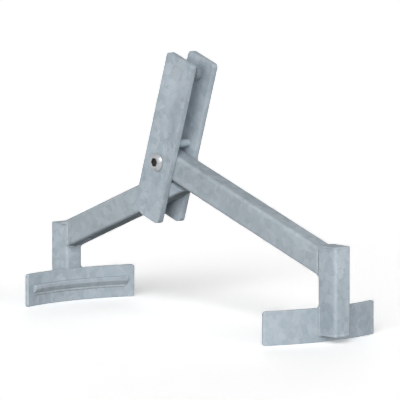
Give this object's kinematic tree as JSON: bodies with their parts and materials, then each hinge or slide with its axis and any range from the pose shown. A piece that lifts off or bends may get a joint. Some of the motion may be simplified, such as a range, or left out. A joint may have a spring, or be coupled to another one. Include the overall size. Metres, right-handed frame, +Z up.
{
  "type": "drum lifter",
  "caption": "Steel tongs that hang from a crane hook and lift an upright drum by its top rim: a leaning fork, a fixed arm and a swinging arm, each with a leg and a curved shoe.",
  "frame": {"origin": "middle of the hook pin, between the fork plates", "axes": "+X from the fixed arm to the swinging arm, +Y along the hook pin and the pivot to the nut's side, +Z up"},
  "size_m": [0.668, 0.2102, 0.3984],
  "materials": {
    "galvanised_steel": "hot-dip galvanised, satin",
    "zinc_plated_steel": "zinc plated, bright",
    "bush_steel": "turned"
  },
  "bodies": {
    "fork": {"fork_plate_front": "galvanised_steel", "fork_plate_rear": "galvanised_steel", "hook_pin": "galvanised_steel", "stop_pin": "galvanised_steel", "pivot_bolt": "zinc_plated_steel", "nut_washer": "zinc_plated_steel", "pivot_nut": "zinc_plated_steel", "left_arm_tube": "galvanised_steel", "left_stop_plate": "galvanised_steel", "left_leg_tube": "galvanised_steel", "left_leg_cap": "galvanised_steel", "left_leg_foot_cap": "galvanised_steel", "left_shoe": "galvanised_steel", "left_claw": "galvanised_steel"},
    "right_arm": {"pivot_bush": "bush_steel", "right_arm_tube": "galvanised_steel", "right_leg_tube": "galvanised_steel", "right_leg_cap": "galvanised_steel", "right_leg_foot_cap": "galvanised_steel", "right_shoe": "galvanised_steel", "right_claw": "galvanised_steel"}
  },
  "joints": [
    {"name": "right_arm_pivot", "type": "hinge", "parent": "fork", "child": "right_arm", "pos_m": [-0.04506, 0, -0.13466], "axis": [0, -1, 0], "range_deg": [-4, 23]}
  ]
}
